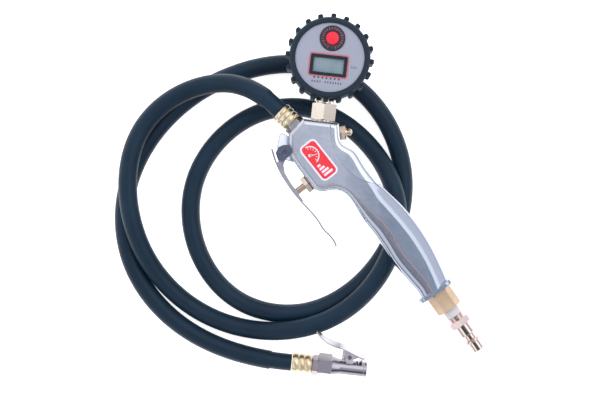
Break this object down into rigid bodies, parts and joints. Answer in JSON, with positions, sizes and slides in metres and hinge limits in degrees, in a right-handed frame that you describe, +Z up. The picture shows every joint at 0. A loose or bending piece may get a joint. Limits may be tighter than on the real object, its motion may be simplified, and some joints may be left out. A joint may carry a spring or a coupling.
{
  "type": "portable tire inflator",
  "caption": "Hand-held tyre inflator: cast pistol body with trigger, round digital gauge in a rubber boot, coiled rubber hose and clip-on tyre chuck.",
  "frame": {"origin": "centre of the footprint, on the supporting plane", "axes": "+Z up out of the gauge face; the tool lies flat, handle running towards +X and -Y, hose coiled to the -X side"},
  "size_m": [0.2809, 0.2769, 0.0589],
  "materials": {
    "cast_polish": "polished die casting with a soft satin grain",
    "cover_polish": "polished die casting",
    "screw_black": "black oxide",
    "badge_border": "white enamel rim",
    "badge_red": "red enamel",
    "lever_steel": "nickel plated sheet",
    "pin_steel": "turned",
    "bonnet_brass": "nickel washed brass",
    "washer_fibre": "red fibre",
    "plunger_steel": "turned",
    "seal_black": "smooth",
    "poppet_rubber": "moulded",
    "spring_steel": "drawn wire",
    "connector_brass": "pale nickel washed brass",
    "bleed_brass": "turned",
    "bleed_knob": "polished",
    "bleed_spring_steel": "drawn wire",
    "bushing_brass": "satin",
    "ptfe_tape": "wrapped tape",
    "plug_zinc": "zinc plated steel",
    "hose_rubber": "smooth blue black cover",
    "ferrule_brass": "crimped, pale",
    "nipple_steel": "plated",
    "ferrule_gold": "crimped, gold",
    "nipple_chuck": "plated",
    "chuck_plate": "nickel plated brass",
    "clip_plate": "nickel plated sheet",
    "clip_pin_steel": "turned",
    "clip_spring_steel": "drawn wire",
    "chuck_rubber": "moulded",
    "depressor_brass": "turned",
    "boot_rubber": "soft matt",
    "case_plastic": "moulded",
    "face_grey": "silver grey lacquer",
    "frame_black": "glossy",
    "outline_red": "printed line",
    "lens_glass": "clear",
    "lcd_cell": "liquid crystal grey green",
    "backlight_white": "diffuser",
    "pcb_green": "solder mask",
    "ring_black": "satin",
    "button_red": "silicone",
    "switch_black": "moulded",
    "sensor_steel": "turned can",
    "sensor_rubber": "smooth",
    "cell_wrap": "plain sleeve",
    "contact_nickel": "nickel",
    "cover_plastic": "moulded, grip ribs"
  },
  "bodies": {
    "gun": {"body_casting": "cast_polish", "rear_cover": "cover_polish", "cover_screws": "screw_black", "badge_plate": "badge_border", "badge_inlay": "badge_red", "trigger_pin": "pin_steel", "valve_bonnet": "bonnet_brass", "bonnet_washer": "washer_fibre", "plunger_seal": "seal_black", "valve_spring": "spring_steel", "gauge_connector": "connector_brass", "bleed_body": "bleed_brass", "bleed_spring": "bleed_spring_steel", "inlet_bushing": "bushing_brass", "thread_tape": "ptfe_tape", "inlet_plug": "plug_zinc", "hose": "hose_rubber", "gun_ferrule": "ferrule_brass", "gun_hose_nipple": "nipple_steel", "chuck_ferrule": "ferrule_gold", "chuck_hose_nipple": "nipple_chuck", "chuck_body": "chuck_plate", "chuck_clip_pin": "clip_pin_steel", "chuck_spring": "clip_spring_steel", "chuck_seal": "chuck_rubber", "core_depressor": "depressor_brass", "gauge_boot": "boot_rubber", "gauge_case": "case_plastic", "face_panel": "face_grey", "lcd_frame": "frame_black", "display_outline": "outline_red", "lcd_glass": "lens_glass", "lcd_panel": "lcd_cell", "lcd_backlight": "backlight_white", "circuit_board": "pcb_green", "button_ring": "ring_black", "tact_switch": "switch_black", "pressure_sensor": "sensor_steel", "sensor_seal": "sensor_rubber", "battery_cells": "cell_wrap", "battery_contacts": "contact_nickel", "battery_cover": "cover_plastic"},
    "trigger": {"trigger_lever": "lever_steel"},
    "plunger": {"valve_plunger": "plunger_steel", "valve_poppet": "poppet_rubber"},
    "bleed": {"bleed_button": "bleed_knob"},
    "power": {"power_button": "button_red"},
    "clip": {"chuck_clip": "clip_plate"}
  },
  "joints": [
    {"name": "trigger_pull", "type": "hinge", "parent": "gun", "child": "trigger", "pos_m": [-0.00932, 0.03614, 0.043], "axis": [0, 0, 1], "range_deg": [0, 9]},
    {"name": "plunger_slide", "type": "slide", "parent": "gun", "child": "plunger", "axis": [0.8014, 0.5981, 0], "range_m": [0, 0.005], "deforming": ["valve_spring"]},
    {"name": "bleed_press", "type": "slide", "parent": "gun", "child": "bleed", "axis": [-0.994, -0.1098, 0], "range_m": [0, 0.0012], "deforming": ["bleed_spring"]},
    {"name": "power_press", "type": "slide", "parent": "gun", "child": "power", "axis": [0, 0, -1], "range_m": [0, 0.0008]},
    {"name": "clip_open", "type": "hinge", "parent": "gun", "child": "clip", "pos_m": [0.04101, -0.11909, 0.01579], "axis": [-0.0567, -0.5417, 0.8387], "range_deg": [0, 16], "deforming": ["chuck_spring"]}
  ],
  "couplings": [
    {"joint": "plunger_slide", "follows": "trigger_pull", "m_per_rad": 0.0302}
  ]
}
